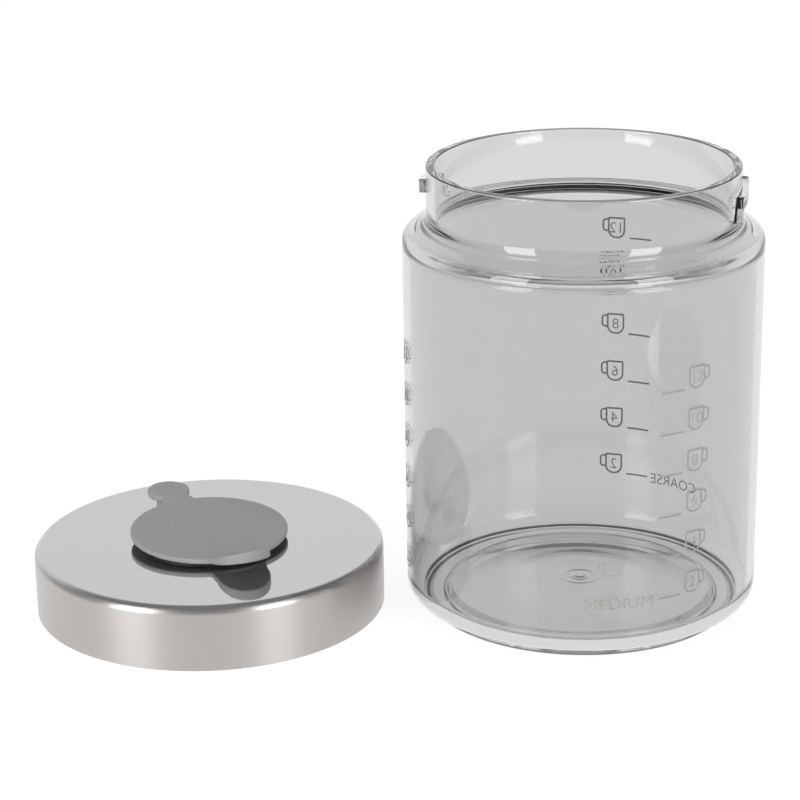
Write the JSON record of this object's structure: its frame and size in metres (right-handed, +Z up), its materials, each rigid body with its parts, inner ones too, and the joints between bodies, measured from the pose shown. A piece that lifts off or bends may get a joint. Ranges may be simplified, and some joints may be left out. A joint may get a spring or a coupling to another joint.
{
  "type": "coffee grinder grounds container",
  "caption": "Tinted clear jar with a bayonet neck for ground coffee, and its steel lid with a silicone outlet cap lying beside it.",
  "frame": {"origin": "centre of the circle that the jar stands on, on its axis", "axes": "+Z up along the jar's axis; +X from the lid towards the jar; the front with the medium scale faces -Y"},
  "size_m": [0.2062, 0.1082, 0.1275],
  "materials": {
    "clear_jar": "clear, grey tinted",
    "steel": "mirror polished top, brushed side",
    "liner": "moulded",
    "silicone": "matt"
  },
  "bodies": {
    "container": {"jar": "clear_jar", "lid_shell": "steel", "lid_insert": "liner", "seal_ring": "silicone", "cap_anchor": "silicone"},
    "outlet_cap": {"outlet_cap": "silicone"}
  },
  "joints": [
    {"name": "cap_flip", "type": "hinge", "parent": "container", "child": "outlet_cap", "pos_m": [-0.1182, 0.01174, 0.02329], "axis": [-0.8572, -0.515, 0], "range_deg": [0, 150]}
  ]
}
